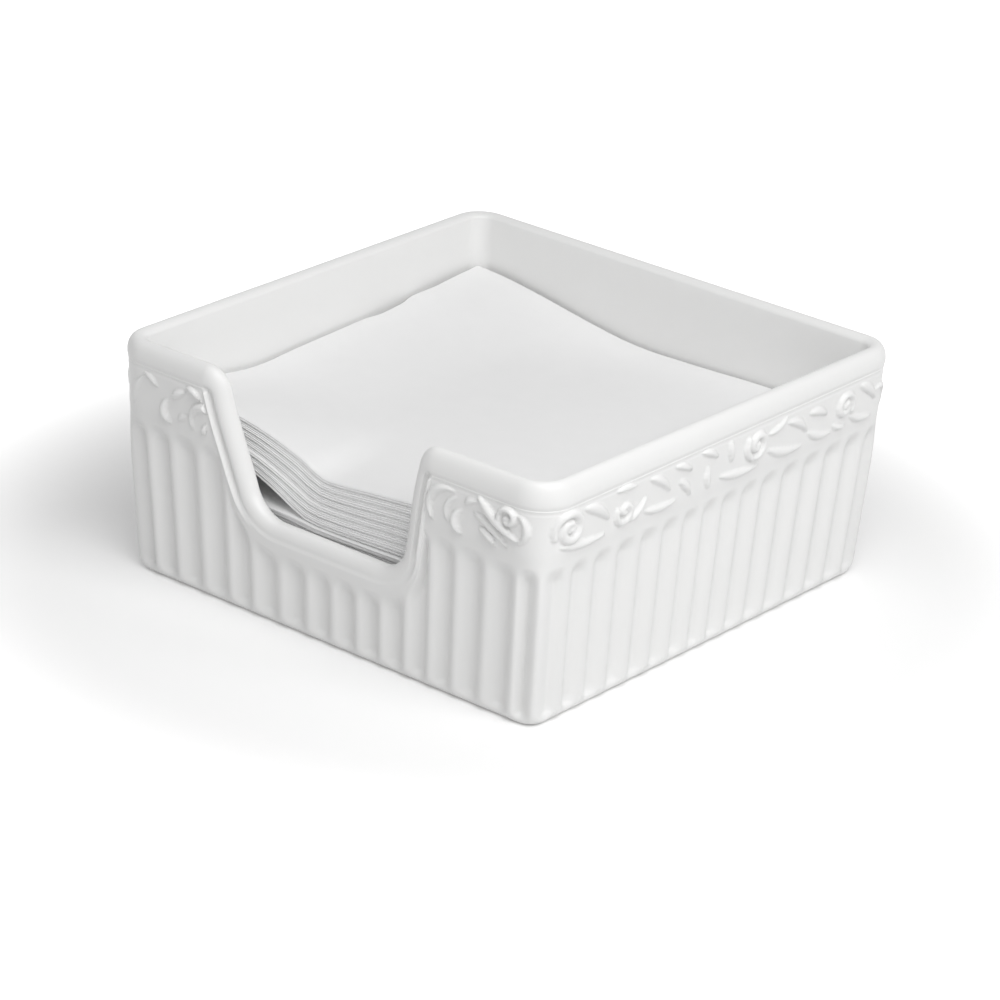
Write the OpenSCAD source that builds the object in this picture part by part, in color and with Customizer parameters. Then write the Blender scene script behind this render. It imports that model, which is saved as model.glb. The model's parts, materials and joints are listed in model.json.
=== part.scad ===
// Square table napkin holder: a glazed ceramic tray with fluted walls, a scroll frieze under
// its rim and a finger cut-out in the front wall, filled with a pile of paper napkins folded in four.
// Millimetres. The origin is on the table under the middle of the tray, +Z is up,
// and the wall with the cut-out faces -Y.

/* [Tray] */
// Width of the tray across its rim
rim_w = 190; // [180:1:210]
// Width of the tray across its base, less than the rim because the walls lean out
base_w = 179; // [170:1:189]
// Height from the table to the top of the rim
tray_h = 85; // [80:1:110]
// Radius of the upright corners, outside at the rim
corner_r = 12.5; // [10:0.5:20]
// Thickness of the walls
wall_t = 5; // [4:0.25:7]
// Thickness of the floor
floor_t = 4.5; // [3:0.25:7]

/* [Foot] */
// Height of the foot ring under the floor
foot_h = 1.5; // [1:0.1:3]
// Width of the foot ring
foot_w = 6; // [4:0.5:10]
// Radius of the rounding where the walls meet the foot
base_round = 4.5; // [3:0.25:6]

/* [Flutes] */
// Number of flutes on each side, from corner ridge to corner ridge
flutes = 16; // [12:1:20]
// Depth of a flute
flute_depth = 1.8; // [1:0.1:2.4]
// Height at which the flutes end
flute_top = 57; // [50:0.5:60]
// Length of the rounded end of a flute
flute_end = 6; // [4:0.5:9]

/* [Rim and frieze] */
// Width of the moulded band that follows the rim and the cut-out
band_w = 8.5; // [7:0.25:11]
// Height of the bead on that band
bead_proud = 0.7; // [0.3:0.1:1.2]
// Depth of the groove beside the bead
groove_depth = 0.6; // [0.3:0.1:1.2]
// Height of the lower edge of the frieze
frieze_low = 61; // [60.5:0.5:66]
// How far the frieze stands out from the wall
frieze_proud = 0.7; // [0.3:0.1:1.2]

/* [Finger cut-out] */
// Width of the cut-out at the rim
cut_top_w = 96; // [80:1:110]
// Width of the cut-out at its lower edge, before the corners are rounded
cut_low_w = 64; // [50:1:76]
// Height of the lower edge of the cut-out
cut_z = 37.5; // [34:0.5:44]
// Radius of the two lower corners of the cut-out
cut_r = 13; // [10:0.5:18]
// Radius where the slanted edges meet the rim
shoulder_r = 5; // [3:0.25:7]

/* [Napkins] */
// Number of folded napkins in the pile
napkin_count = 24; // [12:1:26]
// Thickness of one folded napkin, pressed flat by the pile
napkin_t = 1.45; // [1.2:0.05:1.8]
// How much thicker the top napkin puffs up, with nothing on it
puff = 0.5; // [0:0.05:0.8]
// Air between two napkins, and under the lowest
napkin_gap = 0.3; // [0.25:0.05:0.5]
// Room between the napkins and the walls at the floor
side_play = 3; // [2.8:0.1:6]
// Lift of the top napkin's edges over its flat place
edge_lift = 9.1; // [5:0.1:11]
// Lift of its middle
middle_lift = 7.5; // [3:0.1:8]
// More lift at its back left corner
corner_lift = 7; // [3:0.25:9]
// Dip in its front edge, left of the middle
dip_h = 3.6; // [0:0.1:4]
// Height of the gap that opens at the front left corner, under the forward napkins
wedge_h = 4.5; // [2:0.25:6]
// Height of each slit between two bunches above that gap
slit_h = 1.3; // [0.5:0.1:2]
// Height of the shallow wave across each napkin
wave_h = 1.2; // [0.5:0.1:2]
// Length of that wave
wave_l = 147; // [100:1:200]
// How far napkins in the rear part of the pile are pushed back, at most
push_back = 1.5; // [0:0.25:3]
// How far the forward napkins stand forward
pull_front = 1.2; // [0:0.1:2]
// Scatter of the napkins sideways and forward
scatter = 0.4; // [0:0.05:0.6]
// How far the corners of a napkin are drawn in, both ways
corner_draw = 1.5; // [0:0.1:2.5]

/* [Hidden] */
function napkin_name(k) = str("napkin_", k < 10 ? "0" : "", k);

// The wall in plan is a rounded square that grows with height, in half widths.
lean = (rim_w - base_w) / 2 / tray_h;
corner_share = corner_r / (rim_w / 2);
flat_half_share = 1 - corner_share;
arc_share = corner_share * PI / 2;
side_share = 2 * flat_half_share + arc_share;
function half_w(z) = base_w / 2 + lean * z;

// Levels
floor_z = foot_h + floor_t;
band_z = tray_h - band_w;
foot_in = base_round + foot_w;
inner_round = wall_t / 4;
flute_gap = base_round / 3;
frieze_slope = 1.5;
frieze_step = frieze_proud * frieze_slope;

// Mesh steps
steps = 6;
coarse_every = 3;
base_turns = [30, 60];
nose_turns = [0 : 45 : 180];
fillet_turns = [0, 45, 90];
flat_cells = [5, 5];
wavy_cells = [16, 8];

// Shares of the rounded flute end where it is measured, and shares of the band's width from its edge
flute_end_shares = [1, 1 / 2, 1 / 6, 0];
groove_shares = [0.82, 0.66];
bead_shares = [0.54, 0.42];
bead_side_share = 0.7;

// Across, outward and turn, for a place v from 0 to 1 along one side, from corner to corner
function side_place(v) =
    let (t = v * side_share, far = t - arc_share / 2 - 2 * flat_half_share)
    t < arc_share / 2 ? arc_place(-1, t / corner_share * 180 / PI - 45) :
    far > 0 ? arc_place(1, far / corner_share * 180 / PI) :
    [t - arc_share / 2 - flat_half_share, 1, 0];

function arc_place(hand, turn) =
    [hand * flat_half_share + corner_share * sin(turn), flat_half_share + corner_share * cos(turn), turn];

// A point of the tray: side 0 faces -Y, and w is the depth inward from the wall's outer face
function wall_point(side, across, outward, turn, z, w) =
    let (
        h = half_w(z),
        along = h * across - w * sin(turn),
        out = h * outward - w * cos(turn)
    )
    [along * cos(90 * side) + out * sin(90 * side), along * sin(90 * side) - out * cos(90 * side), z];

// Outline of the cut-out: flat floor, round corner, slanted edge, shoulder, rim
slant_run = (cut_top_w - cut_low_w) / 2;
slant_rise = tray_h - cut_z;
slant = atan2(slant_run, slant_rise);
slant_out = [cos(slant), -sin(slant)];
slant_c = slant_out * [cut_top_w / 2, tray_h];
corner_z = cut_z + cut_r;
corner_x = (slant_c - cut_r + sin(slant) * corner_z) / cos(slant);
mitre_x = cut_top_w / 2 + band_w * (1 - sin(slant)) / cos(slant);
shoulder = [cut_top_w / 2, tray_h] + ([mitre_x, band_z] - [cut_top_w / 2, tray_h]) * shoulder_r / band_w;

// Height of the band's outer boundary over a place x on the front wall, x > 0
function band_edge_z(x) =
    let (
        r = cut_r + band_w,
        arc_end = corner_x + r * cos(slant)
    )
    x < corner_x ? corner_z - r :
    x < arc_end ? corner_z - sqrt(r * r - (x - corner_x) * (x - corner_x)) :
    min(band_z, (x * cos(slant) - slant_c - band_w) / sin(slant));

// The same height where the leaning column of a place across meets it
function column_z(across, tries = 8, z = 0) =
    tries == 0 ? z : column_z(across, tries - 1, band_edge_z(abs(across) * half_w(z)));

// The point of the edge that lies square to a boundary point p, x > 0
function edge_point(p) =
    p[0] < corner_x ? p + [0, band_w] :
    p[1] >= band_z ? [p[0], tray_h] :
    let (from_corner = p - [corner_x, corner_z])
    atan2(from_corner[0], -from_corner[1]) < 90 - slant
        ? [corner_x, corner_z] + from_corner * cut_r / norm(from_corner)
        : p - band_w * slant_out;

// Column: side, outward, turn, flute place, across and height at the boundary, the same at the edge, coarse
function plain_column(side, i) =
    let (v = i / flutes / steps, s = side_place(v))
    [side, s[1], s[2], i / steps, s[0], band_z, s[0], tray_h, i % coarse_every == 0];

function front_column(i) =
    let (
        s = side_place(i / flutes / steps),
        z = column_z(s[0]),
        p = [abs(s[0]) * half_w(z), z],
        e = edge_point(p),
        edge_across = z >= band_z ? s[0] : sign(s[0]) * e[0] / half_w(e[1])
    )
    [0, s[1], s[2], i / steps, s[0], z, edge_across, e[1],
        i % coarse_every == 0 || abs(s[0]) * half_w(z) < mitre_x];

// Columns that fan round a shoulder, all close beside the mitre
fan_steps = 6;
fan_pitch = wall_t / 12;
fan_half = fan_pitch * fan_steps / 2;
function fan_column(hand, k) =
    let (
        x = mitre_x + (k - fan_steps / 2) * fan_pitch,
        z = x < mitre_x ? min(band_z, (x * cos(slant) - slant_c - band_w) / sin(slant)) : band_z,
        turn = 90 + slant - (90 + slant) * (k - 1) / (fan_steps - 2),
        e = k == 0 ? [x, z] - band_w * slant_out :
            k == fan_steps ? [x, tray_h] :
            shoulder + shoulder_r * [-sin(turn), cos(turn)],
        across = hand * x / half_w(z),
        place = (across + flat_half_share + arc_share / 2) / side_share * flutes
    )
    [0, 1, 0, place, across, z, hand * e[0] / half_w(e[1]), e[1], true];

side_columns = flutes * steps;
front = [for (i = [0 : side_columns - 1]) front_column(i)];
function front_x(c) = c[4] * half_w(c[5]);
front_columns = concat(
    [for (c = front) if (front_x(c) < -mitre_x - fan_half - fan_pitch) c],
    [for (k = [0 : fan_steps]) fan_column(-1, fan_steps - k)],
    [for (c = front) if (abs(front_x(c)) < mitre_x - fan_half - fan_pitch) c],
    [for (k = [0 : fan_steps]) fan_column(1, k)],
    [for (c = front) if (front_x(c) > mitre_x + fan_half + fan_pitch) c]
);
columns = concat(
    front_columns,
    [for (side = [1 : 3]) for (i = [0 : side_columns - 1]) plain_column(side, i)]
);
coarse_at = [for (i = [0 : len(columns) - 1]) if (columns[i][8]) i];

function flute(c) = let (f = 2 * (c[3] - floor(c[3])) - 1) flute_depth * (1 - f * f);
function flute_end_z(c) = min(flute_top, c[5] - flute_gap);
function column_point(c, across, z, w) = wall_point(c[0], across, c[1], c[2], z, w);

// Foot: recess, inner and outer edge of the ring
function foot_rows(c) = [
    column_point(c, c[4], foot_h, foot_in + foot_h),
    column_point(c, c[4], 0, foot_in),
    column_point(c, c[4], 0, base_round)
];

// Fluted wall: rounding above the foot, straight flutes, rounded flute ends
function fluted_rows(c) =
    let (top = flute_end_z(c))
    concat(
        [for (t = base_turns)
            column_point(c, c[4], base_round * (1 - cos(t)), base_round * (1 - sin(t)) + flute(c) * sin(t))],
        [column_point(c, c[4], base_round, flute(c))],
        [for (s = flute_end_shares)
            column_point(c, c[4], top - s * flute_end, flute(c) * sqrt(1 - (1 - s) * (1 - s)))]
    );

// Frieze, moulded band, rounded edge, inner wall and floor
function upper_rows(c) =
    let (
        top = flute_end_z(c),
        frieze_share = (frieze_low - flute_top) / (band_z - flute_top),
        step_share = frieze_step / (band_z - flute_top),
        proud = frieze_proud * max(0, min(1, (c[5] - frieze_low) / (band_z - frieze_low))),
        nose = wall_t / 2
    )
    concat(
        [
            column_point(c, c[4], top + frieze_share * (c[5] - top), 0),
            column_point(c, c[4], top + (frieze_share + step_share) * (c[5] - top), -proud)
        ],
        [band_point(c, 1, -proud)],
        [for (s = groove_shares) band_point(c, s, groove_depth)],
        [
            band_point(c, bead_shares[0], -bead_proud * bead_side_share),
            band_point(c, bead_shares[1], -bead_proud)
        ],
        [for (t = nose_turns)
            band_point(c, nose / band_w * (1 - sin(t)), nose * (1 - cos(t)) - bead_proud * max(0, cos(t)))],
        [band_point(c, 1, wall_t)],
        [for (t = fillet_turns)
            column_point(c, c[4], floor_z + inner_round * (1 - sin(t)), wall_t + inner_round * (1 - cos(t)))]
    );

// A point of the band: share 1 is its outer boundary and 0 the edge
function band_point(c, share, w) =
    let (across = c[6] + (c[4] - c[6]) * share, z = c[7] + (c[5] - c[7]) * share)
    column_point(c, across, z, w);

// Faces are listed counterclockwise, seen from outside, and turned over for the solid.
function turned(faces) = [for (f = faces) [for (i = [len(f) - 1 : -1 : 0]) f[i]]];

// Triangles of a strip between two rings of equal length, each given by its first point
function strip(low, high, n) = [
    for (i = [0 : n - 1])
        for (t = [[low + i, low + (i + 1) % n, high + (i + 1) % n], [low + i, high + (i + 1) % n, high + i]]) t
];

// Triangles between a ring of all columns and a ring of the coarse ones, which lies above it when up is true
function seam(fine, coarse, up) = [
    for (j = [0 : len(coarse_at) - 1])
        let (
            a = coarse_at[j],
            b = j == len(coarse_at) - 1 ? len(columns) : coarse_at[j + 1],
            middle = floor((a + b + 1) / 2),
            next = (j + 1) % len(coarse_at),
            n = len(columns)
        )
        for (t = concat(
            [for (k = [a : 1 : b - 1]) [fine + k, fine + (k + 1) % n, coarse + (k < middle ? j : next)]],
            [[fine + middle % n, coarse + next, coarse + j]]
        )) up ? t : [t[0], t[2], t[1]]
];

module tray() {
    n = len(columns);
    m = len(coarse_at);
    foot = [for (i = coarse_at) foot_rows(columns[i])];
    fluted = [for (c = columns) fluted_rows(c)];
    upper = [for (i = coarse_at) upper_rows(columns[i])];
    foot_n = len(foot[0]);
    fluted_n = len(fluted[0]);
    upper_n = len(upper[0]);
    points = concat(
        [for (r = [0 : foot_n - 1]) for (c = foot) c[r]],
        [for (r = [0 : fluted_n - 1]) for (c = fluted) c[r]],
        [for (r = [0 : upper_n - 1]) for (c = upper) c[r]]
    );
    fluted_at = foot_n * m;
    upper_at = fluted_at + fluted_n * n;
    faces = concat(
        [[for (j = [m - 1 : -1 : 0]) j]],
        [for (r = [0 : foot_n - 2]) for (t = strip(r * m, (r + 1) * m, m)) t],
        seam(fluted_at, (foot_n - 1) * m, false),
        [for (r = [0 : fluted_n - 2]) for (t = strip(fluted_at + r * n, fluted_at + (r + 1) * n, n)) t],
        seam(fluted_at + (fluted_n - 1) * n, upper_at, true),
        [for (r = [0 : upper_n - 2]) for (t = strip(upper_at + r * m, upper_at + (r + 1) * m, m)) t],
        [[for (j = [0 : m - 1]) upper_at + (upper_n - 1) * m + j]]
    );
    color("ivory") polyhedron(points, turned(faces));
}

// Napkins: the pile lies flat on the floor, and its waves and slits grow towards the top.
// The tray is narrowest inside at the floor, or at the rim where the walls lean in.
narrow_w = min(half_w(floor_z), half_w(tray_h));
inner_w = narrow_w - wall_t;
inner_corner = corner_share * narrow_w - wall_t;
napkin_half = min(inner_w - side_play, inner_w - inner_corner + (inner_corner - side_play / 2) / sqrt(2));
napkin_pitch = napkin_t + napkin_gap;

// Shares of the pile where a gap opens: first the wedge under the forward napkins, then the slits
gap_shares = [0.73, 0.76, 0.84, 0.925];
// How far the rear part of the pile and each bunch above it is turned, in degrees
bunch_turns = [-0.4, -0.3, 0.2, -0.25, 0.15];
// Turn from the scatter of one napkin to that of the next, and the most that a napkin turns in its bunch
scatter_turn = 137.5;
askew = 0.12;
// Shares of the half napkin that place its curl at the front left, the dip and the back left corner
curl_share = 0.14;
curl_run_share = 0.4;
curl_depth_share = 0.7;
dip_share = -0.14;
dip_run_shares = [0.15, 0.5];
corner_from_share = 0.3;
wave_skew_share = 0.35;
rise_power = 4;
// A napkin that has risen less than this is flat enough for few cells
flat_rise_share = 0.2;

function bunch(k) = len([for (s = gap_shares) if (k > s * napkin_count) s]);
function gap_lift(k) = bunch(k) == 0 ? 0 : wedge_h + (bunch(k) - 1) * slit_h;

// A smooth step from 0 to 1
function smooth(t) = let (s = max(0, min(1, t))) s * s * (3 - 2 * s);

// How far napkin k has risen out of the flat pile, from 0 at the floor to 1 at the top
function rise(k) = pow(k / napkin_count, rise_power);
function cells(k) = rise(k) < flat_rise_share ? flat_cells : wavy_cells;

// Lift of napkin k over its flat place, for places across and deep from -1 to 1
function napkin_lift(k, across, deep) =
    let (
        inside = max(0, 1 - pow(across, 4)) * max(0, 1 - pow(deep, 4)),
        flat_left = max(0, 1 + min(0, (across + curl_share) / curl_run_share)),
        curl = (1 - flat_left * flat_left) * smooth(-deep / curl_depth_share),
        dip_place = (across - dip_share) / dip_run_shares[across < dip_share ? 0 : 1],
        dip = pow(max(0, 1 - dip_place * dip_place), 2) * smooth(-deep),
        back_left = smooth(-across) * smooth((deep - corner_from_share) / (1 - corner_from_share)),
        wave = (1 + sin(360 * napkin_half * (across + wave_skew_share * deep) / wave_l)) / 2
    )
    rise(k) * (
        edge_lift + (middle_lift - edge_lift) * inside
        + corner_lift * back_left + wave_h * wave - dip_h * dip
    )
    + gap_lift(k) * curl;

// Each napkin lies a little askew, and never quite where the one below does
function napkin_place(k) = [
    scatter * sin(scatter_turn * k),
    (bunch(k) == 0 ? push_back * k / napkin_count : -pull_front) + scatter / 2 * cos(scatter_turn * k)
];
function napkin_turn(k) = bunch_turns[bunch(k)] + askew * sin(2 * scatter_turn * k);

function napkin_point(k, i, j, top) =
    let (
        corner = (i == 0 || i == cells(k)[0]) && (j == 0 || j == cells(k)[1]),
        reach = napkin_half - (corner ? corner_draw : 0),
        x = (2 * i / cells(k)[0] - 1) * reach,
        y = (2 * j / cells(k)[1] - 1) * reach,
        turn = napkin_turn(k),
        place = napkin_place(k) + [x * cos(turn) - y * sin(turn), x * sin(turn) + y * cos(turn)],
        flat_z = floor_z + napkin_gap + (k - 1) * napkin_pitch,
        lift = napkin_lift(k, place[0] / napkin_half, place[1] / napkin_half)
    )
    [place[0], place[1], flat_z + lift + (top ? napkin_t + puff * rise(k) : 0)];

module napkin(k) {
    wide = cells(k)[0];
    long = cells(k)[1];
    row = wide + 1;
    layer = row * (long + 1);
    points = [for (top = [false, true]) for (j = [0 : long]) for (i = [0 : wide]) napkin_point(k, i, j, top)];
    corners = [for (j = [0 : long - 1]) for (i = [0 : wide - 1]) j * row + i];
    rim = concat(
        [for (i = [0 : wide - 1]) i],
        [for (j = [0 : long - 1]) j * row + wide],
        [for (i = [wide : -1 : 1]) long * row + i],
        [for (j = [long : -1 : 1]) j * row]
    );
    faces = concat(
        [for (c = corners) for (t = [[c, c + row + 1, c + 1], [c, c + row, c + row + 1]]) t],
        [for (c = corners) for (t = [[c, c + 1, c + row + 1], [c, c + row + 1, c + row]])
            t + [layer, layer, layer]],
        [for (e = [0 : len(rim) - 1])
            let (a = rim[e], b = rim[(e + 1) % len(rim)])
            for (t = [[a, b, b + layer], [a, b + layer, a + layer]]) t]
    );
    color("white") polyhedron(points, turned(faces));
}

tray();
for (k = [1 : napkin_count]) {
    napkin(k);
}
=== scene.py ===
# %% [markdown]
# A square ceramic tray full of paper napkins
#
# This lesson dresses a measured model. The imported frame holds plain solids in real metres,
# and each step replaces one of them with a piece that has the carving, folds and finish of
# the real thing. The sizes are written in millimetres, because the potter's drawing uses them.

# %% Open the frame
import json
import math

import bpy
import numpy as np
from mathutils import Matrix, Vector

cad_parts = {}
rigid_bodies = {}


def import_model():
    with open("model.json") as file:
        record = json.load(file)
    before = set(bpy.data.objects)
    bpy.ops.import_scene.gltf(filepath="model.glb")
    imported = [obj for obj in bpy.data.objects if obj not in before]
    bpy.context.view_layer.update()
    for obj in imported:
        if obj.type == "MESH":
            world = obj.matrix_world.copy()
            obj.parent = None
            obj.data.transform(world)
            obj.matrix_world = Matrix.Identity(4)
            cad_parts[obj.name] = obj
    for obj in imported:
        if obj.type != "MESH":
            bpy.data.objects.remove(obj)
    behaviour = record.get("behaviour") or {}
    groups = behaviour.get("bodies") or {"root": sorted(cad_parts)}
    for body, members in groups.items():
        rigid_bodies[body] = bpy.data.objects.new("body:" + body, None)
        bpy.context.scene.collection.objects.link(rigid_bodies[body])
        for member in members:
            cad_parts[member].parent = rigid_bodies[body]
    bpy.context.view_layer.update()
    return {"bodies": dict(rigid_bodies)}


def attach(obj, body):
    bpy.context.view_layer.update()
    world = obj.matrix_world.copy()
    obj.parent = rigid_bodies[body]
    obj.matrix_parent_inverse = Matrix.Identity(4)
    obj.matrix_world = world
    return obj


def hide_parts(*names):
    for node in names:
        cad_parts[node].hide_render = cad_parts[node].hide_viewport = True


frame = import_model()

MM = 0.001

# %% [markdown]
# The camera stands where a table-top photographer would put it: a long lens, a good metre
# and a half away, looking down over the near corner. The long lens keeps the walls nearly
# parallel. The camera was tilted a little, so its up direction leans to the left. Its angles
# are in radians, and its distances in half widths of the tray's rim.

# %% Set up the camera
azimuth, elevation, tilt = 0.68067, 0.41393, 0.04915
half_rim = 95 * MM
distance = 16.76669 * half_rim
shift_right, shift_up = 0.005093 * half_rim, 0.249468 * half_rim
sensor_w = 36
focal_share = 4.601543

back = np.array([math.sin(azimuth) * math.cos(elevation), -math.cos(azimuth) * math.cos(elevation),
                 math.sin(elevation)])
level = np.array([math.cos(azimuth), math.sin(azimuth), 0.0])
upright = np.cross(back, level)
right = level * math.cos(tilt) + upright * math.sin(tilt)
up = upright * math.cos(tilt) - level * math.sin(tilt)
eye = right * shift_right + up * shift_up + back * distance

camera = bpy.data.objects.new("table_camera", bpy.data.cameras.new("table_camera"))
bpy.context.scene.collection.objects.link(camera)
camera.data.sensor_width = sensor_w
camera.data.lens = sensor_w * focal_share
camera.data.clip_end = 50
camera.matrix_world = Matrix([*np.stack([right, up, back, eye], 1).tolist(), [0, 0, 0, 1]])
bpy.context.scene.camera = camera
bpy.context.scene.view_settings.view_transform = "Standard"
print("camera at", eye.round(3), "with a lens of", round(camera.data.lens), "mm")

# %% [markdown]
# Sums in a material are easier to read as Python than as a web of nodes. This small class
# holds one output of a node. Adding or multiplying it makes the Math node, and make() adds
# any other node from its type, its settings and what goes into its sockets.

# %% Sums that build nodes
class Socket:
    """One output of a node in a material."""

    def __init__(self, tree, output=None):
        self.tree = tree
        self.output = output

    def make(self, kind, settings=None, inputs=None, output=0):
        """A new node of any kind, and one of its outputs."""
        node = self.tree.nodes.new(kind)
        for name, value in (settings or {}).items():
            setattr(node, name, value)
        for name, value in (inputs or {}).items():
            feed(self.tree, node.inputs[name], value)
        return Socket(self.tree, node.outputs[output])

    def seen(self):
        """1 for rays that show a surface to the eye, directly, in a gloss or through glass."""
        eye, gloss, glass = [self.make("ShaderNodeLightPath", output=name) for name in
                             ("Is Camera Ray", "Is Glossy Ray", "Is Transmission Ray")]
        return (eye + gloss + glass).at_most(1)

    def sum(self, operation, *values):
        """The result of a Math node."""
        return self.make("ShaderNodeMath", {"operation": operation}, dict(enumerate(values)))

    def at_most(self, limit):
        return self.sum("MINIMUM", self, limit)

    def __add__(self, other):
        return self.sum("ADD", self, other)

    def __sub__(self, other):
        return self.sum("SUBTRACT", self, other)

    def __rsub__(self, other):
        return self.sum("SUBTRACT", other, self)

    def __mul__(self, other):
        return self.sum("MULTIPLY", self, other)

    __radd__ = __add__
    __rmul__ = __mul__


def feed(tree, target, value):
    """Links a Socket to a node's input, or sets a plain value there."""
    if isinstance(value, Socket):
        tree.links.new(value.output, target)
    else:
        target.default_value = value


def new_material(name, **fixed):
    """A material with the sockets of its shader set, and a Socket to build its nodes from."""
    material = bpy.data.materials.new(name)
    material.use_nodes = True
    tree = material.node_tree
    shader = tree.nodes["Principled BSDF"]
    for socket, value in fixed.items():
        shader.inputs[socket.replace("_", " ")].default_value = value
    return material, shader, Socket(tree)


# %% [markdown]
# A catalogue picture has no horizon: the table is a pale sweep, lit evenly from all round. A
# broad window on the right rakes over the flutes and throws a soft shadow to the left, and a
# small lamp beside it gives that shadow an edge. The floor shows brighter to the camera than
# it lights the tray: near the tray by a small lift, which keeps the shadow, and further out
# fully white. So the picture is white all round without any more light on the glaze.

# %% Light the table
world = bpy.data.worlds.new("studio")
bpy.context.scene.world = world
world.use_nodes = True
sky = Socket(world.node_tree)
fill_strength = 0.39
world.node_tree.nodes["Background"].inputs["Color"].default_value = (1, 1, 1, 1)
feed(world.node_tree, world.node_tree.nodes["Background"].inputs["Strength"],
     sky.seen() * (1 - fill_strength) + fill_strength)


def softbox(name, toward, size, distance, strength):
    """A square lamp that gives a set strength on a surface that faces it."""
    lamp = bpy.data.objects.new(name, bpy.data.lights.new(name, "AREA"))
    toward = Vector(toward).normalized()
    lamp.data.size = size
    lamp.data.energy = math.pi ** 2 * distance ** 2 * strength
    lamp.location = toward * distance
    lamp.rotation_euler = toward.to_track_quat("Z", "Y").to_euler()
    bpy.context.scene.collection.objects.link(lamp)


softbox("broad_window", toward=(0.54, -0.30, 0.786), size=0.7, distance=1.0, strength=0.62)
softbox("side_lamp", toward=(0.77, 0.164, 0.60), size=0.32, distance=1.8, strength=0.05)

floor_half = 20.0
floor_mesh = bpy.data.meshes.new("floor")
floor_corners = [(-1, -1), (1, -1), (1, 1), (-1, 1)]
floor_mesh.from_pydata([(x * floor_half, y * floor_half, 0) for x, y in floor_corners], [], [(0, 1, 2, 3)])
floor = bpy.data.objects.new("floor", floor_mesh)
bpy.context.scene.collection.objects.link(floor)
floor_white, floor_shader, floor_nodes = new_material(
    "floor_white", Base_Color=(0.82, 0.82, 0.82, 1), Roughness=1.0, Specular_IOR_Level=0.0)
near_lift, near_edge, far_edge = 0.19, 0.15, 0.28
distance_out = floor_nodes.make("ShaderNodeVectorMath", {"operation": "LENGTH"}, {
    0: floor_nodes.make("ShaderNodeTexCoord", output="Object")}, "Value")
floor_lift = floor_nodes.make("ShaderNodeMapRange", {"interpolation_type": "SMOOTHSTEP"}, {
    "Value": distance_out, "From Min": near_edge, "From Max": far_edge, "To Min": near_lift, "To Max": 1.0})
floor_glow = floor_nodes.make("ShaderNodeEmission", {}, {"Color": (1, 1, 1, 1), "Strength": floor_lift})
floor_paint = Socket(floor_nodes.tree, floor_shader.outputs[0])
floor_bright = floor_nodes.make("ShaderNodeAddShader", {}, {0: floor_paint, 1: floor_glow})
feed(floor_nodes.tree, floor_nodes.tree.nodes["Material Output"].inputs["Surface"], floor_nodes.make(
    "ShaderNodeMixShader", {}, {0: floor_nodes.seen(), 1: floor_paint, 2: floor_bright}))
floor.data.materials.append(floor_white)
print("fill", fill_strength, "and the floor's lift", near_lift)

# %% [markdown]
# The tray was cast in a mould, so one drawing gives its whole wall: in plan a square with
# rounded corners that grows with height, because the walls lean out. A place on the wall is
# a side, how far across that side it lies, its height, and its depth into the clay.

# %% Draw the plan of the tray
rim_w, base_w, tray_h, corner_r, wall_t, floor_t = 190.0, 179.0, 85.0, 12.5, 5.0, 4.5
foot_h, foot_w, base_round = 1.5, 5.7, 4.5
lean = (rim_w - base_w) / 2 / tray_h
corner_share = corner_r / (rim_w / 2)
flat_half_share = 1 - corner_share
arc_share = corner_share * math.pi / 2
side_share = 2 * flat_half_share + arc_share


def half_w(z):
    """Half the tray's outside width at the height z."""
    return base_w / 2 + lean * z


def side_place(v):
    """Across, outward and turn, for places v from 0 to 1 along a side, from corner to corner."""
    t = np.asarray(v) * side_share
    near = np.minimum(t / corner_share - math.pi / 4, 0)
    far = np.maximum((t - arc_share / 2 - 2 * flat_half_share) / corner_share, 0)
    turn = near + far
    flat = np.clip(t - arc_share / 2 - flat_half_share, -flat_half_share, flat_half_share)
    return flat + corner_share * np.sin(turn), flat_half_share + corner_share * np.cos(turn), turn


def wall_points(side, across, outward, turn, z, depth):
    """World points, in millimetres. Side 0 faces -Y and the sides run on round the tray."""
    h = half_w(z)
    along = h * across - depth * np.sin(turn)
    out = h * outward - depth * np.cos(turn)
    c, s = np.cos(side * math.pi / 2).round(), np.sin(side * math.pi / 2).round()
    return np.stack([along * c + out * s, along * s - out * c, z + 0 * along], -1)


print("inside width at the rim:", rim_w - 2 * wall_t, "mm")

# %% [markdown]
# The finger cut-out in the front wall has a flat bottom, two round corners and slanted edges
# that bend over into the rim. A moulded band follows it and the rim all the way round. So the
# wall's columns end on the band's outer line, and each one is carried across the band to the
# edge. The real one was trimmed by hand: its top sits a little to the left of its bottom.

# %% Draw the cut-out and its band
band_w = 8.5
cut_top_w, cut_low_w, cut_z, cut_r, shoulder_r, cut_shift = 87.6, 62.4, 37.5, 12.0, 8.9, -3.0
band_z = tray_h - band_w
slant = math.atan2((cut_top_w - cut_low_w) / 2, tray_h - cut_z)
slant_out = np.array([math.cos(slant), -math.sin(slant)])
slant_c = slant_out @ [cut_top_w / 2, tray_h]
corner_z = cut_z + cut_r
corner_x = (slant_c - cut_r + math.sin(slant) * corner_z) / math.cos(slant)
bend = math.pi / 2 - slant
shoulder = np.array([cut_top_w / 2 + shoulder_r * math.tan(bend / 2), tray_h - shoulder_r])

step = 0.62
fan_columns = 18


def ease(t):
    """Runs softly from 0 to 1 as t does."""
    t = np.clip(t, 0, 1)
    return t * t * (3 - 2 * t)


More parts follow.
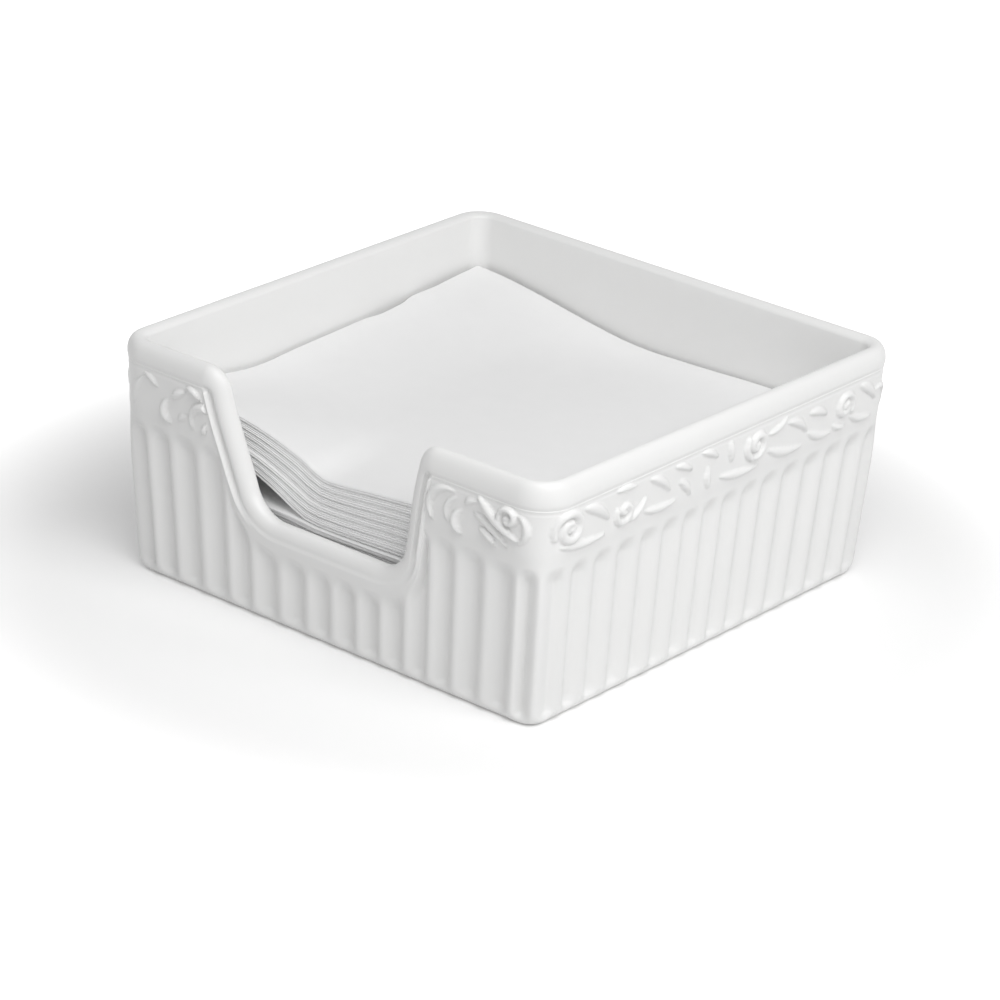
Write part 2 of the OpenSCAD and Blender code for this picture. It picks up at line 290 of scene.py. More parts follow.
def cut_out_columns():
    """Points on the band's outer line and on the edge, and how far a column belongs to the
    cut-out and not to the rim, for the right half of the front wall."""
    outer_r = cut_r + band_w
    x = np.arange(0, corner_x, step * 1.5)
    line = [np.stack([x, 0 * x + corner_z - outer_r], 1)]
    edge = [line[0] + [0, band_w]]
    turn = np.arange(0, math.pi / 2 - slant, step / outer_r)
    spoke = np.stack([np.sin(turn), -np.cos(turn)], 1)
    line.append(np.array([corner_x, corner_z]) + outer_r * spoke)
    edge.append(np.array([corner_x, corner_z]) + cut_r * spoke)
    start = np.array([corner_x, corner_z]) + outer_r * slant_out
    end = shoulder - (shoulder_r - band_w) * slant_out
    run = np.arange(0, np.linalg.norm(end - start) - step / 3, step)[:, None]
    line.append(start + run * [math.sin(slant), math.cos(slant)])
    edge.append(line[-1] - band_w * slant_out)
    turn = bend * np.linspace(1, 0, fan_columns + 1)
    spoke = np.stack([-np.sin(turn), np.cos(turn)], 1)
    line.append(shoulder + (shoulder_r - band_w) * spoke)
    edge.append(shoulder + shoulder_r * spoke)
    line, edge = np.concatenate(line), np.concatenate(edge)
    belongs = np.ones(len(line))
    belongs[-len(turn):] = ease(turn / bend)
    return line, edge, belongs


def half_front(shift):
    """One half of the front wall: across, outward, turn, place, height, edge, belongs."""
    line, edge, belongs = cut_out_columns()
    for points in (line, edge):
        points[:, 0] += shift * ease((points[:, 1] - cut_z) / (band_z - cut_z))
    across = line[:, 0] / half_w(line[:, 1])
    place = (across + flat_half_share + arc_share / 2) / side_share
    n = int((1 - place[-1]) * side_share * half_w(band_z) / step)
    v = np.linspace(place[-1], 1, n + 1)[1:-1]
    far_across, far_outward, far_turn = side_place(v)
    return np.concatenate([
        np.stack([across, 0 * across + 1, 0 * across, place, line[:, 1],
                  edge[:, 0] / half_w(edge[:, 1]), edge[:, 1], belongs], 1),
        np.stack([far_across, far_outward, far_turn, v, 0 * v + band_z, far_across, 0 * v + tray_h, 0 * v], 1)])


def front_columns():
    """Both halves of the front wall, the left one mirrored, from corner to corner."""
    signs, start = [-1, 1, -1, -1, 1, -1, 1, 1], [0, 0, 0, 1, 0, 0, 0, 0]
    left = half_front(-cut_shift)[:0:-1] * signs + start
    return np.concatenate([left, half_front(cut_shift)])


def plain_columns():
    """The same for a wall without a cut-out."""
    n = int(side_share * half_w(band_z) / step)
    v = np.arange(n) / n
    across, outward, turn = side_place(v)
    return np.stack([across, outward, turn, v, 0 * v + band_z, across, 0 * v + tray_h, 0 * v], 1)


first = plain_columns()[:1]
table = [np.concatenate([first, front_columns()]), plain_columns(), plain_columns(), plain_columns()]
side = np.concatenate([np.full(len(columns), i) for i, columns in enumerate(table)])
across, outward, turn, place, line_z, edge_across, edge_z, belongs = np.concatenate(table).T
print(len(side), "columns round the wall")

# %% [markdown]
# The flutes are shallow troughs with soft ridges between them, pressed side by side from
# corner to corner. They stop in round ends under the frieze, and lower down under the cut-out.
# The mould was cut by hand, so the ridges wander a little from an even spacing. On the front
# wall their places were measured, and interp() counts the flutes off between them. Below the
# frieze the tray's own corners are crisper than at the rim, so they stand out there.

# %% Press the flutes
flutes, front_depth, other_depth, flute_top, flute_end = 16, 3.4, 2.652, 58.5, 7.0
flute_gap, foot_gap, foot_fade = 0.5, 0.5, 4.5
corner_proud, corner_from, corner_fade = 1.9, 40, 38
front_ridges = np.array([-77.6, -67.0, -54.9, -42.9, -32.2, -19.8, -7.6, 3.5,
                         14.5, 24.8, 35.4, 45.6, 56.1, 68.2, 80.5])
front_places = (front_ridges / half_w(17.0) + flat_half_share + arc_share / 2) / side_share
other_wander = 0.16 * np.sin(9 * place + 2 * side) * np.sin(math.pi * place)
flute_count = np.where(side == 0, np.interp(place, [0, *front_places, 1], np.arange(flutes + 1)),
                       place * flutes + other_wander)
at_corner = ease(np.abs(turn) / (math.pi / 4))


def flute_depths(z):
    """How deep the flutes lie at heights z."""
    trough = (1 - np.cos(2 * math.pi * flute_count)) / 2
    run = np.clip((np.minimum(flute_top, line_z - flute_gap) - z) / flute_end, 0, 1)
    deep = np.where(side == 0, front_depth, other_depth)
    return deep * trough * ease(run) * ease((z - foot_gap) / foot_fade)


def corner_ridges(z):
    """How far the four corners stand out, which makes them crisper below the rim than at it."""
    return corner_proud * at_corner * (1 - ease((z - corner_from) / corner_fade))


print("ridges on the front wall, mm apart:", np.diff(front_ridges).round(1))

# %% [markdown]
# The frieze is a band of raised scrolls and leaves, a classical border. Each stroke is a
# line of points with a height and a width, like a roll of clay laid on the wall, and a place
# on the wall rises to the highest roll over it. The front was pressed deepest, and every
# corner is worn a little flatter.

# %% Carve the frieze
frieze_low, frieze_proud, frieze_soft = 61.0, 0.25, 5.0
frieze_top = np.where(belongs < 1, 78.4, line_z)
front_relief, other_relief, corner_loss, relief_fade = 1.4, 1.0, 0.55, 0.8
relief_share = np.where(side == 0, front_relief, other_relief) * (1 - corner_loss * at_corner)


def scroll(x, z, radius, turns, start, hand, width, height=1.3, eye=1.4):
    """A spiral roll that winds in to a round eye."""
    t = np.linspace(0, 1, int(60 * turns))
    angle = math.radians(start) + hand * 2 * math.pi * turns * t
    r = radius * (1 - t) ** 0.8 + eye * 0.6 * t
    wide = width * (0.55 + 0.6 * np.sin(math.pi * (0.15 + 0.75 * t)))
    roll = np.stack([x + r * np.cos(angle), z + r * np.sin(angle), wide, 0 * t + height], 1)
    return np.concatenate([roll, [[x, z, eye, height]]])


def hook(x, z, radius, start, end, width, height=1.4):
    """An open curl, part of a circle, thin at both ends."""
    t = np.linspace(0, 1, 40)
    angle = np.radians(start + (end - start) * t)
    swell = np.sin(math.pi * (0.1 + 0.8 * t))
    return np.stack([x + radius * np.cos(angle), z + radius * np.sin(angle), width * swell, height * swell], 1)


def leaf(x0, z0, x1, z1, bow, width, height=1.2):
    """A leaf that swells in the middle, bowed to one side."""
    t = np.linspace(0, 1, 50)
    dx, dz = x1 - x0, z1 - z0
    length = math.hypot(dx, dz)
    lift = bow * np.sin(math.pi * t)
    wide = width * (0.3 + 0.7 * np.sin(math.pi * t ** 0.8))
    high = height * (0.6 + 0.4 * np.sin(math.pi * t))
    return np.stack([x0 + dx * t - dz / length * lift, z0 + dz * t + dx / length * lift, wide, high], 1)


front_frieze = [
    leaf(-86, 64, -80, 75, 1.2, 1.2, 0.7), leaf(-79, 76.5, -74, 73, 0.6, 1.1, 0.7),
    hook(-66.5, 65.5, 4.7, 125, 240, 1.6), leaf(-66.5, 71.4, -61.0, 74.6, 0.5, 1.4),
    leaf(-64.5, 63.4, -60, 66.5, 0.6, 1.1, 0.8), hook(-52.4, 65.0, 6.4, 205, -25, 1.5, 1.3),
    leaf(-47.9, 62.0, -48.6, 67.8, 0.3, 1.2), leaf(-53.6, 61.8, -51.8, 65.5, 0.2, 1.0, 0.9),
    leaf(-59.5, 77, -53.5, 73.8, 0.7, 1.2), hook(54.5, 68.3, 8.2, 215, 75, 1.4, 1.2),
    hook(60.2, 68.3, 6.6, 115, 215, 0.9, 0.9), hook(62.2, 66.4, 4.8, 120, 245, 1.5, 1.5),
    leaf(61.5, 73.8, 66.5, 75.8, 0.5, 1.1, 0.9), leaf(68.0, 66.8, 74.5, 62.6, 0.6, 1.3),
    leaf(65.6, 71.4, 79.2, 63.6, 0.9, 1.6, 0.9), leaf(67.2, 77.8, 83.4, 67.0, -1.0, 1.9, 1.6),
    scroll(79.4, 74.2, 3.7, 1.1, 200, -1, 1.0, 1.4, 1.0), hook(80.4, 71.0, 5.8, 65, -55, 1.2, 1.4)]
side_frieze = [
    scroll(-81.5, 71.0, 6.4, 1.5, 200, -1, 1.4, 1.5, 1.6), leaf(-85, 65.2, -64, 63.6, -0.8, 1.5),
    leaf(-74, 76, -62.5, 69.0, 1.2, 1.9), scroll(-54, 68.4, 4.3, 1.1, 160, 1, 1.2),
    leaf(-51, 64.2, -43, 70.6, -1.0, 1.3), leaf(-58, 77, -49, 76.4, 0.5, 1.2),
    leaf(-43, 65, -27, 64.4, -0.8, 1.4), leaf(-41, 76, -31, 69.2, 1.2, 1.6),
    leaf(-25.5, 70.4, -19.5, 64, 0.8, 1.4), leaf(-28, 76.4, -20, 73, 0.6, 1.2),
    leaf(-14, 77.2, -6, 73.4, 0.6, 1.3), leaf(-9.4, 63.4, -10.6, 71.4, 0.5, 1.4),
    leaf(0.6, 76.8, 2.2, 69.4, 0.2, 1.5), leaf(-3, 65.2, 17, 63.4, -0.9, 1.5),
    scroll(15.5, 71.4, 5.5, 1.4, 150, 1, 1.3, 1.5), leaf(22.5, 73, 31, 76.6, -0.8, 1.3),
    leaf(23, 66.8, 41, 63.2, -1.2, 1.7), leaf(33, 74.2, 43.5, 68.2, 1.2, 1.5),
    leaf(45, 74, 54, 71.2, 0.8, 1.5), leaf(45, 66.8, 58, 63.2, -1.0, 1.6),
    scroll(65, 70.8, 4.7, 1.3, -30, 1, 1.2), leaf(59.5, 65.0, 66, 63.4, -0.6, 1.1),
    leaf(69, 66.0, 81, 63.0, -0.8, 1.5), leaf(73, 76, 82, 69.4, 1.0, 1.7),
    hook(84.5, 68.6, 4.2, 150, -60, 1.1)]
mirrored_frieze = [roll * [-1, 1, 1, 1] for roll in side_frieze]
friezes = [np.concatenate(part) for part in (front_frieze, side_frieze, mirrored_frieze, side_frieze)]
along_frieze = (place - 0.5) * side_share * half_w(69.0)


def frieze_heights(z):
    """How far the frieze stands out at heights z."""
    room = np.clip((line_z - frieze_low) / (band_z - frieze_low), 0, 1)
    ground = frieze_proud * room * ease((z - frieze_low + frieze_soft / 2) / frieze_soft)
    relief = np.zeros_like(z)
    for i, rolls in enumerate(friezes):
        busy = (side == i) & (z > frieze_low - 0.5) & (z < frieze_top)
        x, height, wide, high = rolls.T
        gap = ((along_frieze[busy, None] - x) ** 2 + (z[busy, None] - height) ** 2) / wide ** 2
        relief[busy] = (high * np.sqrt(np.clip(1 - gap, 0, 1))).max(1, initial=0)
    return ground + relief_share * relief * ease((frieze_top - z) / relief_fade)


print([len(rolls) for rolls in friezes], "points in the rolls of the four sides")

# %% [markdown]
# The band is a broad round lip that rolls in over the wall and runs out softly at the rim.
# Along the cut-out it has a groove beside it, and a thin bead outside the groove. Each table
# gives the depth at a few places from the lip (0) to the band's outer line (1), and the steps
# between them are eased, because glaze fills every sharp corner. Firing warps a square tray,
# so its near corner stands highest.

# %% Shape the band
rim_places, rim_depths = [0, 0.75, 1], [-0.4, 0.1, 0.0]
cut_places, cut_depths = [0, 0.26, 0.40, 0.76, 1], [0.4, 1.9, 1.7, -0.8, 0.0]
lip = (0.5 * belongs + 0.56 * (1 - belongs)) * band_w
groove_fade = ease((edge_z - 38) / 14)
rim_at = wall_points(side, edge_across, outward, turn, tray_h + 0 * place, 0 * place)
near = (rim_at[:, 0] - rim_at[:, 1]) / rim_w
crown_mean, crown_near, crown_far = 0.9, 2.2, 0.9
crown = (crown_mean + np.where(near > 0, crown_near, crown_far) * near) * (1 - belongs)
lip_depth, lip_inner = 3.4 + 1.6 * belongs * groove_fade, 1.4
rim_thicker, edge_thicker = 1.5, 1.7


def eased_table(x, places, values):
    """Values at the places, with an eased step from each to the next."""
    out = np.full_like(np.asarray(x, float), values[0])
    for a, b, low, high in zip(places, places[1:], values, values[1:]):
        out = out + (high - low) * ease((x - a) / (b - a))
    return out


def band_row(inset, depth):
    """A ring at a distance inset from the edge, in the plane of the wall."""
    share = inset / band_w
    part_across = edge_across + (across - edge_across) * share
    return wall_points(side, part_across, outward, turn, edge_z + (line_z - edge_z) * share, depth)


def band_depth(u):
    """Depth of the moulding at the part u of the way from the lip to the outer line."""
    cut = eased_table(u, cut_places, cut_depths)
    cut = cut_depths[0] * (1 - ease(u / 0.5)) * (1 - groove_fade) + cut * groove_fade
    return cut * belongs + eased_table(u, rim_places, rim_depths) * (1 - belongs)


def wall_at(z):
    """Thickness of the wall, which grows towards the rim and the edge of the cut-out."""
    to_rim, to_edge = z / tray_h * (1 - belongs), np.clip(z / cut_z, 0, 1) * belongs
    return wall_t + rim_thicker * to_rim + edge_thicker * to_edge


rim_height = tray_h + crown[belongs == 0]
print("height of the rim:", rim_height.min().round(1), "to", rim_height.max().round(1), "mm")

# %% [markdown]
# White tin glaze is never one flat white. Its tone clouds a little greyer in patches, and the
# hollows are painted greyer still, as painted shade. Its gloss changes from place to place, and
# its skin has a faint ripple like orange peel. The ring that the tray stands on was wiped clean
# before firing, so bare clay shows there; its darker tone is also painted shade under the walls.

# %% Mix the glaze
glaze, glaze_shader, glaze_nodes = new_material("white_glaze", IOR=1.5, Coat_Roughness=0.14)
glaze_place = glaze_nodes.make("ShaderNodeTexCoord", output="Object")


def mottle(nodes, where, scale, detail=2.0, rough=0.5):
    """Soft noise between 0 and 1, with scale in patches to the metre."""
    return nodes.make("ShaderNodeTexNoise", {}, {
        "Vector": where, "Scale": scale, "Detail": detail, "Roughness": rough}, "Fac")


def spread(nodes, value, low, high, to_low=0.0, to_high=1.0):
    """A value between low and high, eased to run from to_low to to_high."""
    return nodes.make("ShaderNodeMapRange", {"interpolation_type": "SMOOTHSTEP"}, {
        "Value": value, "From Min": low, "From Max": high, "To Min": to_low, "To Max": to_high}, "Result")


def blend(nodes, share, first, second):
    """A colour between two colours."""
    return nodes.make("ShaderNodeMix", {"data_type": "RGBA"}, {0: share, 6: first, 7: second}, 2)


glaze_height = glaze_nodes.make("ShaderNodeSeparateXYZ", {}, {0: glaze_place}, "Z")
# The bottom ring is bare clay. Its darker tone is also painted shade: the thin line of shade under the walls.
clay_foot_and_shade = 1 - spread(glaze_nodes, glaze_height, 0.0004, 0.0009)
# Painted shade: pointiness makes the hollows greyer, where shade falls in the carving.
hollow_shade = 1 - spread(glaze_nodes, glaze_nodes.make("ShaderNodeNewGeometry", output="Pointiness"), 0.42, 0.5)
cloud = mottle(glaze_nodes, glaze_place, 28.0)
# The grey tone serves both the random clouds in the glaze and the painted shade in the hollows.
light_glaze_tone, grey_cloud_and_shade_tone, clay_and_shade_tone = (0.85, 0.85, 0.845, 1), (0.79, 0.79, 0.78, 1), (0.74, 0.73, 0.70, 1)
glaze_tone = blend(glaze_nodes, (cloud * 0.35 + hollow_shade * 0.5).at_most(1.0), light_glaze_tone, grey_cloud_and_shade_tone)
feed(glaze_nodes.tree, glaze_shader.inputs["Base Color"], blend(glaze_nodes, clay_foot_and_shade, glaze_tone, clay_and_shade_tone))
feed(glaze_nodes.tree, glaze_shader.inputs["Roughness"],
     mottle(glaze_nodes, glaze_place, 60.0) * 0.12 + 0.42 + clay_foot_and_shade * 0.35)
feed(glaze_nodes.tree, glaze_shader.inputs["Coat Weight"], (1 - clay_foot_and_shade) * 0.1)
ripple = mottle(glaze_nodes, glaze_place, 330.0, 3.0) + mottle(glaze_nodes, glaze_place, 45.0) * 3.0
feed(glaze_nodes.tree, glaze_shader.inputs["Normal"], glaze_nodes.make(
    "ShaderNodeBump", {}, {"Height": ripple, "Strength": 0.5, "Distance": 0.00008}, "Normal"))
print(len(glaze_nodes.tree.nodes), "nodes in the glaze")

# %% [markdown]
# With the outline, flutes, frieze and band drawn, the tray is one skin: rings of points from
# the foot up the outside, over the rim and down the inside to the floor. The rings lie close
# together where there is carving, and far apart where the wall is plain. On the flat foot and
# floor the last ring is drawn in towards the middle, which keeps its corners from crossing.

# %% Build the tray
def mesh_object(name, points, faces, material):
    """A smooth piece from points in millimetres."""
    mesh = bpy.data.meshes.new(name)
    mesh.from_pydata((np.asarray(points) * MM).tolist(), [], faces)
    mesh.shade_smooth()
    mesh.materials.append(material)
    piece = bpy.data.objects.new(name, mesh)
    bpy.context.scene.collection.objects.link(piece)
    return piece


def ring_faces(rings, n):
    """Four-sided faces between rings of n points."""
    i = np.arange(n)
    low = np.arange(rings - 1)[:, None] * n
    return np.stack([low + i, low + (i + 1) % n, low + n + (i + 1) % n, low + n + i], -1).reshape(-1, 4)


under_round, foot_round, fillet = 0.8, 0.6, wall_t / 4
hub_shares, floor_shares = (0.15, 0.4, 0.7, 0.97), (0.8, 0.5, 0.2)
ring_counts, ring_heights = [0, 17, 44, 81], [base_round, 44, 58, band_z]
carving_from, carving_fade = 0.35, 0.15


def tray_rings():
    """Rings from the middle underneath, out over the foot, up, over and in to the middle inside."""
    foot_in = base_round + foot_w
    floor_z = foot_h + floor_t
    full = 0 * across
    rings = []

    def ring(z, depth):
        rings.append(wall_points(side, across, outward, turn, full + z, full + depth))

    hub = wall_points(side, across, outward, turn, full + foot_h, full + foot_in + foot_h)
    rings.extend(hub * [share, share, 1] for share in hub_shares)
    for t in np.radians([90, 60, 30, 0]):
        ring(foot_h - under_round * (1 - np.sin(t)), foot_in + foot_h + under_round * (np.cos(t) - 1))
    for t in np.radians([0, 45, 90]):
        ring(foot_round * (1 - np.sin(t)), foot_in + foot_round * (np.cos(t) - 1))
    ring(0, base_round)
    for t in np.radians([11, 23, 35, 47, 60, 72, 84]):
        z = base_round * (1 - np.cos(t))
        ring(z, base_round * (1 - np.sin(t)) + flute_depths(full + z) * np.sin(t) - corner_ridges(full + z))
    heights = np.interp(np.arange(ring_counts[-1] + 1), ring_counts, ring_heights)
    for share in (heights - base_round) / (band_z - base_round):
        z = base_round + share * (line_z - base_round)
        ring(z, flute_depths(z) - frieze_heights(z) - corner_ridges(z))
    for u in np.linspace(1, 0, 30)[1:]:
        inset = lip + (band_w - lip) * u
        z = edge_z + (line_z - edge_z) * inset / band_w
        carving = frieze_heights(z) * (1 - belongs) * ease((u - carving_from) / carving_fade)
        rings.append(band_row(inset, band_depth(u) - corner_ridges(z) - carving))
    start = band_depth(0)
    for t in np.radians(np.linspace(0, 90, 11)[1:]):
        rings.append(band_row(lip * (1 - np.sin(t)) - crown * np.sin(t),
                              start + (lip_depth - start) * (1 - np.cos(t))))
    for t in np.radians(np.linspace(90, 180, 9)[1:]):
        rings.append(band_row(lip_inner * (1 - np.sin(t)) - crown * np.sin(t),
                              lip_depth - (wall_at(edge_z) - lip_depth) * np.cos(t)))
    rings.append(band_row(band_w + 0 * lip, wall_at(line_z)))
    for share in np.linspace(0, 1, 12)[1:-1]:
        z = line_z + share * (floor_z + fillet - line_z)
        ring(z, wall_at(z))
    for t in np.radians([0, 22, 45, 67, 90]):
        z = floor_z + fillet * (1 - np.sin(t))
        ring(z, wall_at(z) + fillet * (1 - np.cos(t)))
    hub = rings[-1]
    rings.extend(hub * [share, share, 1] for share in floor_shares)
    return rings


rings = tray_rings()
n = len(side)
tray_faces = ring_faces(len(rings), n).tolist()
tray_faces.append(list(range(n - 1, -1, -1)))
tray_faces.append([(len(rings) - 1) * n + i for i in range(n)])
tray = mesh_object("glazed_tray", np.concatenate(rings), tray_faces, glaze)
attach(tray, "tray")
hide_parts("tray")
print("tray:", len(rings), "rings,", len(tray_faces), "faces")

# %% [markdown]
# A paper napkin is one thin sheet, folded in half and in half again, so a folded one has
# four layers, with its fat round fold at the back and its open edges at the front. The pile
# lies flat at the bottom. Towards the top the sheets lift at their edges, and at the front
# left they open into bunches with a dark wedge under them. One rule gives every sheet its lie.

# %% Lay out the pile
napkin_count, napkin_t, napkin_gap = 24, 1.45, 0.3
floor_z = foot_h + floor_t
napkin_half = 81.84
edge_lift, middle_lift, corner_lift, dip_h = 9.1, 7.5, 7.0, 3.6
dip_at, dip_left, dip_right = -0.14, 0.15, 0.5
wedge_h, press_h, slit_h, curl_from, curl_run = 13.0, 1.35, 0.9, 0.25, 0.55
wave_h, wave_l, wave_slant = 1.2, 147.0, 0.35
pull_front, creep_left, creep_back, scatter, askew = 1.2, 4.2, 4.0, 0.3, 0.12
gap_shares = [0.73, 0.76, 0.84, 0.925]
bunch_turns = [-0.4, -0.3, 0.2, -0.25, 0.15]
scatter_turn = math.radians(137.5)


def bunch(k):
    """0 for the flat napkins below, and then the number of the bunch, from 1 up."""
    return sum(k > share * napkin_count for share in gap_shares)


first_bunch = min(k for k in range(1, napkin_count + 1) if bunch(k))


def soft_table(x, places, values):
    """Straight lines between the places, with their bends rounded over 24 mm."""
    return sum(np.interp(x + d, places, values) for d in (-12, -9, -6, -3, 0, 3, 6, 9, 12)) / 9


def towards(share, start):
    """0 from the middle to the part start of the way to an edge, and then eased to 1 there."""
    return ease((share - start) / (1 - start))


def settle(x, y):
    """How far the top napkins rise or sink at their front, back and left edges."""
    front = soft_table(x, [-30, -17, -2, 17, 45, 82], [-1.0, -2.2, 0.0, -1.8, -2.0, -1.2])
    rear = soft_table(x, [-84, -48, -11, 20, 44, 82], [0.6, -0.8, -3.1, -2.4, -0.6, 0])
    left = soft_table(y, [-60, -36, -20, 9, 30, 49, 63, 84], [0, 0, 1.6, 2.8, 3.8, 2.8, 0.9, 0.6])
    a, d = x / napkin_half, y / napkin_half
    return front * towards(-d, 0.3) + rear * towards(d, 0.3) + left * towards(-a, 0.4)


def napkin_floor(k, x, y):
    """Height of the underside of napkin k over the place x, y."""
    a, d = x / napkin_half, y / napkin_half
    inside = np.maximum(0, 1 - a ** 4) * np.maximum(0, 1 - d ** 4)
    curl = (1 - (1 - np.clip((-a - curl_from) / curl_run, 0, 1)) ** 1.8) * towards(-d, 0.3)
    dip_place = (a - dip_at) / np.where(a < dip_at, dip_left, dip_right)
    dip = np.maximum(0, 1 - dip_place ** 2) ** 2 * towards(-d, 0.35)
    back_left = ease(-a) * towards(d, 0.3)
    wave = (1 + np.sin(2 * math.pi * napkin_half * (a + wave_slant * d) / wave_l)) / 2
    bend = edge_lift + (middle_lift - edge_lift) * inside + corner_lift * back_left + wave_h * wave - dip_h * dip
    lift = (k / napkin_count) ** 4 * bend + (k / napkin_count) ** 12 * settle(x, y)
    gap = wedge_h - (k - first_bunch) * press_h + (bunch(k) - 1) * slit_h if bunch(k) else 0
    return floor_z + napkin_gap + (k - 1) * (napkin_t + napkin_gap) + lift + gap * curl


def napkin_lie(k):
    """Shift and turn of napkin k."""
    creep = max(0, k - first_bunch + 1) / (napkin_count - first_bunch + 1)
    rear = creep * (creep_back + pull_front) - pull_front if bunch(k) else -pull_front * k / first_bunch
    shift = np.array([scatter * math.sin(scatter_turn * k) - creep_left * creep,
                      rear + scatter / 2 * math.cos(scatter_turn * k)])
    return shift, math.radians(bunch_turns[bunch(k)] + askew * math.sin(2 * scatter_turn * k))


print("height of the top napkin's underside, front and back:",
      [round(float(napkin_floor(24, 0, y)), 1) for y in (-80, 80)], "mm")

# %% [markdown]
# Folding can be worked out exactly. One way round the sheet gives the first fold, a small
# half circle along the left edge. The other way gives the second, a larger half circle along
# the back that carries both layers round it, so the four open edges face the finger cut-out.
# No fold is quite square, so each of those edges is set back by a little of its own. Two skins
# a paper's thickness apart, joined at the edges, make the sheet solid.

# %% Fold a napkin
paper_share, small_fold, large_fold = 0.246, 0.13, 0.25
quarter_turn, top_t, air = 1.57, 2.1, 0.02
front_step, outer_step, inner_step, layer_wander, edge_wander = 0.75, 0.12, -0.14, 0.04, 0.06
nip_in, nip_places = 1.3, ((33, 8), (66, 13))


def fold_path(cells, half, radius, bend_cells):
    """Places along one way of the sheet, from open edge to open edge, and the angle round the fold."""
    flat = np.linspace(-half, half - radius, cells + 1)
    bend = np.linspace(0, math.pi, bend_cells + 1)[1:-1]
    where = np.concatenate([flat, np.full(len(bend), half - radius), flat[::-1]])
    return where, np.concatenate([0 * flat, bend, 0 * flat + math.pi])


def uneven_edges(k, x_at, y_at, x_turned, y_turned, seen):
    """Sets the four open edges back by a little each, and nips the left edge in near the top."""
    layer = x_turned + 2.0 * y_turned
    step = front_step * (0.5 + np.where(y_turned, -1, 1) * np.where(x_turned, inner_step, outer_step)) * seen
    step = step + layer_wander * np.sin(12.99 * k + 7.23 * layer)
    step = step + edge_wander * np.sin(x_at / 13 + 2.1 * k + 1.7 * layer)
    y_at = y_at + step * np.clip(-y_at / 8 - napkin_half / 8 + 1, 0, 1)
    nips = sum(ease(1.6 - np.abs(y_at - place) / width) for place, width in nip_places)
    x_at = x_at + nip_in * (k / napkin_count) ** 8 * nips * ease((-x_at - napkin_half + 6) / 5)
    return x_at, y_at


def folded_napkin(k, cells, bend_cells, plump, seen):
    """Points and faces of napkin k, folded twice, in at most plump times its flat thickness."""
    shift, turned = napkin_lie(k)
    small, large = small_fold, large_fold
    thick = napkin_t * plump
    x_at, x_angle = fold_path(cells, napkin_half, small * thick, bend_cells)
    y_at, y_angle = fold_path(cells, napkin_half, (small + large) * thick, bend_cells)
    x_angle, y_angle = x_angle[None, :], y_angle[:, None]
    x_at, y_at = uneven_edges(k, -x_at[None, :], y_at[:, None],
                              x_angle > quarter_turn, y_angle > quarter_turn, seen)
    skins = []
    for skin in (-0.5, 0.5):
        cos_t, sin_t = math.cos(turned), math.sin(turned)
        wx, wy = x_at * cos_t - y_at * sin_t + shift[0], x_at * sin_t + y_at * cos_t + shift[1]
        low = napkin_floor(k, wx, wy) + air
        room = napkin_floor(k + 1, wx, wy) - low - air if k < napkin_count else top_t
        t = np.minimum(room, thick)
        r = (small + skin * paper_share) * t
        ring_r = large * t - r * np.cos(x_angle)
        x = x_at - r * np.sin(x_angle)
        y = y_at + ring_r * np.sin(y_angle)
        z = low + 0.5 * t - ring_r * np.cos(y_angle)
        skins.append(np.stack([x * cos_t - y * sin_t + shift[0], x * sin_t + y * cos_t + shift[1], z], -1))
    rows, columns = skins[0].shape[:2]
    points = np.concatenate([skin.reshape(-1, 3) for skin in skins])
    index = np.arange(rows * columns).reshape(rows, columns)
    inner = np.stack([index[:-1, :-1], index[:-1, 1:], index[1:, 1:], index[1:, :-1]], -1).reshape(-1, 4)
    count = rows * columns
    border = np.concatenate([index[0, :-1], index[:-1, -1], index[-1, :0:-1], index[:0:-1, 0]])
    after = np.roll(border, -1)
    sides = np.stack([border, after, after + count, border + count], -1)
    return points, np.concatenate([inner[:, ::-1], inner + count, sides]).tolist()


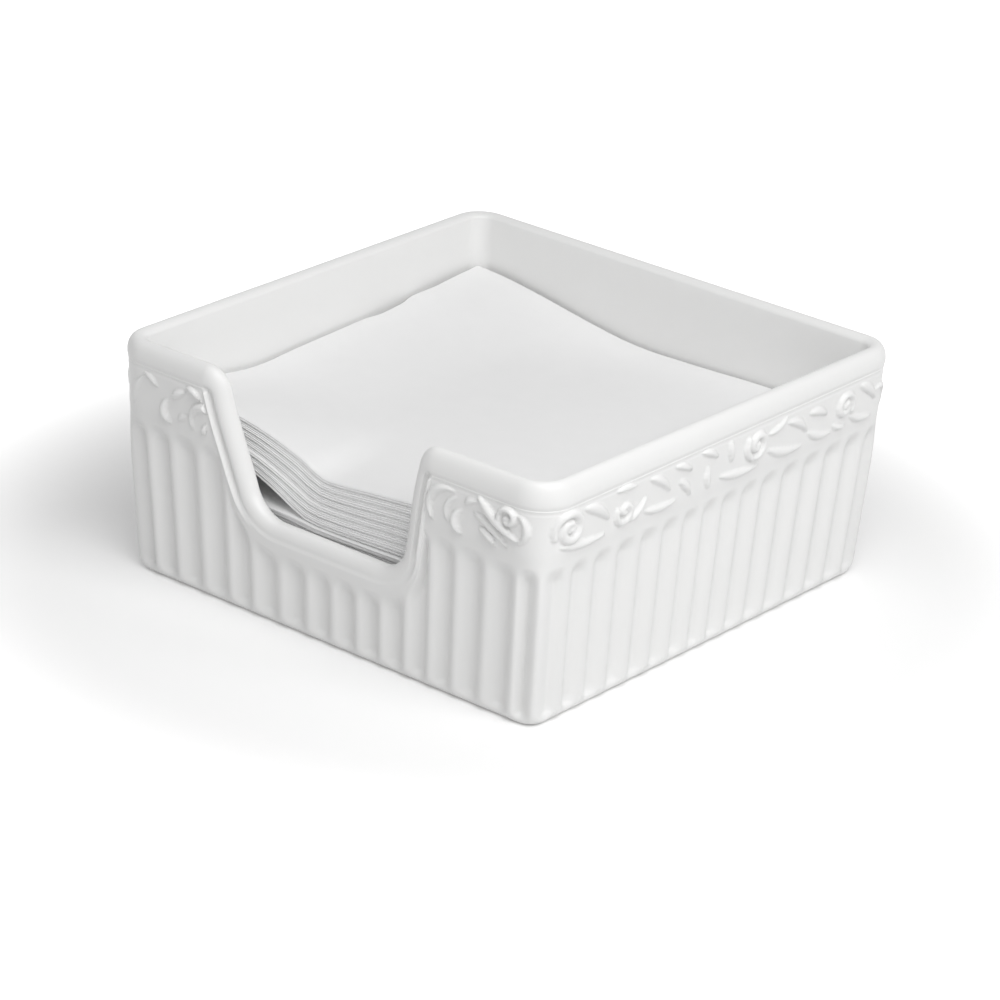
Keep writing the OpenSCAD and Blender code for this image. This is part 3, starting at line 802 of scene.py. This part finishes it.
print("a layer of paper is drawn", round(paper_share * top_t, 2), "mm thick in the top napkin")

# %% [markdown]
# Tissue paper is matt and cloudy: short fibres lie thicker in some places than in others, and
# the crêping that makes it soft leaves a fine grain. Both are noise, the grain very small and
# stretched, with a few slow waves where the sheet has relaxed.

# %% Make the paper
paper, paper_shader, paper_nodes = new_material(
    "napkin_paper", Sheen_Weight=0.08, Sheen_Roughness=0.6, Specular_IOR_Level=0.2)
paper_place = paper_nodes.make("ShaderNodeTexCoord", output="Object")
grain_place = paper_nodes.make("ShaderNodeVectorMath", {"operation": "MULTIPLY"}, {
    0: paper_place, 1: (1.0, 3.0, 1.0)}, "Vector")
fibres = mottle(paper_nodes, grain_place, 900.0, 3.0, 0.7)
clouds = mottle(paper_nodes, paper_place, 120.0, 4.0, 0.6)
feed(paper_nodes.tree, paper_shader.inputs["Base Color"],
     blend(paper_nodes, clouds * 0.7 + fibres * 0.3, (0.84, 0.84, 0.84, 1), (0.88, 0.88, 0.88, 1)))
feed(paper_nodes.tree, paper_shader.inputs["Roughness"], fibres * 0.1 + 0.85)
crepe = fibres + mottle(paper_nodes, paper_place, 35.0) * 6.0
feed(paper_nodes.tree, paper_shader.inputs["Normal"], paper_nodes.make(
    "ShaderNodeBump", {}, {"Height": crepe, "Strength": 0.4, "Distance": 0.00008}, "Normal"))
print(len(paper_nodes.tree.nodes), "nodes in the paper")

# %% [markdown]
# Every napkin is the same folded sheet at its own place in the pile. The low ones show only at
# their edges, so they have fewer cells than the top one.

# %% Stack the napkins
napkins = []
for k in range(1, napkin_count + 1):
    seen = bunch(k) > 0
    cells = 60 if k == napkin_count else 30 if seen else 14
    bend_cells, plump = (8, 2.0) if seen else (4, 1.1)
    points, faces = folded_napkin(k, cells, bend_cells, plump, seen)
    name = f"napkin_{k:02d}"
    napkin = mesh_object("folded_" + name, points, faces, paper)
    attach(napkin, name if name in frame["bodies"] else "pile")
    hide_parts(name)
    napkins.append(napkin)
print(len(napkins), "napkins, the top one with", len(napkins[-1].data.polygons), "faces")
